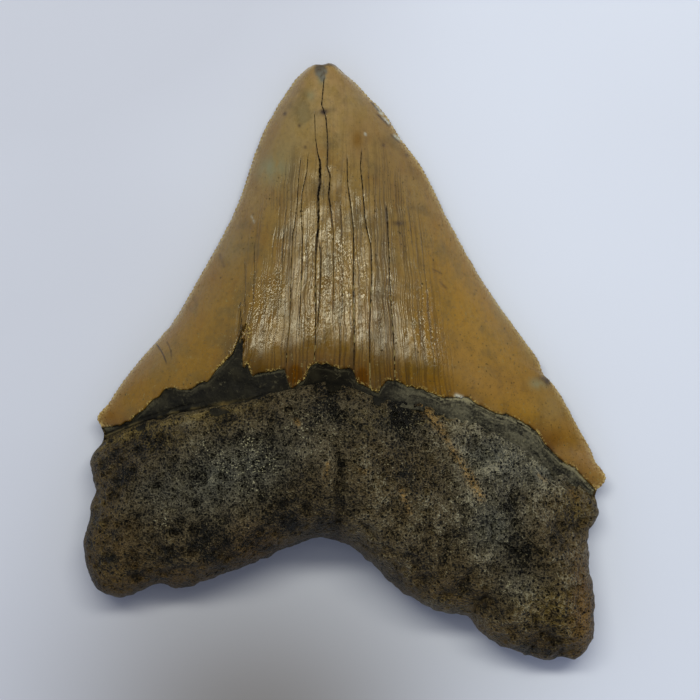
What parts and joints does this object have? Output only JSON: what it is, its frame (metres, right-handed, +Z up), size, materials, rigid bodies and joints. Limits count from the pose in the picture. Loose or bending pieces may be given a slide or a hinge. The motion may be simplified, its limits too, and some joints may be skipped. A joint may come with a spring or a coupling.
{
  "type": "megalodon tooth",
  "caption": "Large triangular fossil shark tooth lying on its flat labial face, with a serrated enamel crown, a dark bourlette and a thick two-lobed root.",
  "frame": {"origin": "on the surface that the tooth lies on, under the middle of its box", "axes": "+X across the tooth towards its longer root lobe, +Y towards the tip, +Z up out of the lingual face"},
  "size_m": [0.1016, 0.1166, 0.0246],
  "materials": {
    "root": "worn porous fossil dentine, dark brown-grey with pits, pale specks and olive-brown lobes",
    "bourlette": "smooth charcoal band between enamel and root, grey and faintly veined at its right end",
    "enamel": "polished ochre fossil enamel with dark lengthwise cracks and fine streaks, amber at its lower edge"
  },
  "bodies": {
    "root": {"tooth": "root"}
  },
  "joints": []
}
